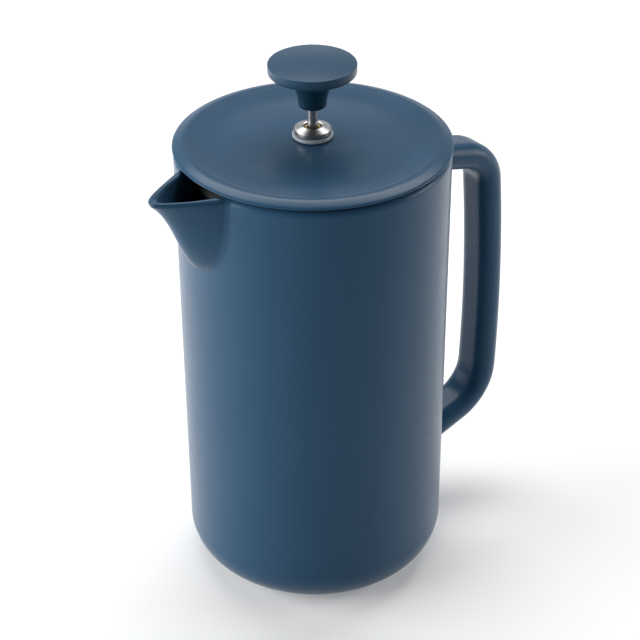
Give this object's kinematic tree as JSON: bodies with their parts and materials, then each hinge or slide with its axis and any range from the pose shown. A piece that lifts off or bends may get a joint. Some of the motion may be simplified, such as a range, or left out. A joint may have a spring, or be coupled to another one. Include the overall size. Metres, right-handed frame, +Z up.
{
  "type": "french press",
  "caption": "Stoneware french press: pouring carafe with a loop handle, a sealed disc lid with a steel rod guide, and a knobbed plunger with its filter stack.",
  "frame": {"origin": "centre of the carafe's flat base, on the carafe's axis", "axes": "+Z up along the carafe's axis, -X towards the spout, +X towards the handle, +Y completes the right-handed frame"},
  "size_m": [0.1764, 0.112, 0.231],
  "materials": {
    "glaze": "satin blue glaze",
    "knob_shell": "satin moulded",
    "steel": "polished and turned",
    "mesh": "woven",
    "brass": "turned",
    "silicone": "translucent"
  },
  "bodies": {
    "carafe_body": {"carafe": "glaze"},
    "seal_ring": {"lid_seal": "silicone"},
    "lid_assembly": {"lid": "glaze", "collar_washer": "silicone", "guide_collar": "steel", "bore_sleeve": "silicone", "under_washer": "silicone", "clamp_washer": "steel", "lock_nut": "steel"},
    "bush": {"guide_bush": "brass"},
    "plunger": {"knob": "knob_shell", "knob_insert": "brass", "plunger_rod": "steel", "stack_nut": "steel", "stack_washer": "steel", "spring_plate": "steel", "coil_spring": "steel", "filter_mesh": "mesh", "cross_plate": "steel", "hub_nut": "steel"}
  },
  "joints": [
    {"name": "lid_lift", "type": "slide", "parent": "carafe_body", "child": "seal_ring", "axis": [0, 0, 1], "range_m": [0, 0.2]},
    {"name": "lid_turn", "type": "hinge", "parent": "seal_ring", "child": "lid_assembly", "pos_m": [0, 0, 0.1944], "axis": [0, 0, 1], "continuous": true},
    {"name": "rod_turn", "type": "hinge", "parent": "lid_assembly", "child": "bush", "pos_m": [0, 0, 0.2], "axis": [0, 0, 1], "continuous": true},
    {"name": "plunge", "type": "slide", "parent": "bush", "child": "plunger", "axis": [0, 0, 1], "range_m": [0, 0.158]}
  ]
}
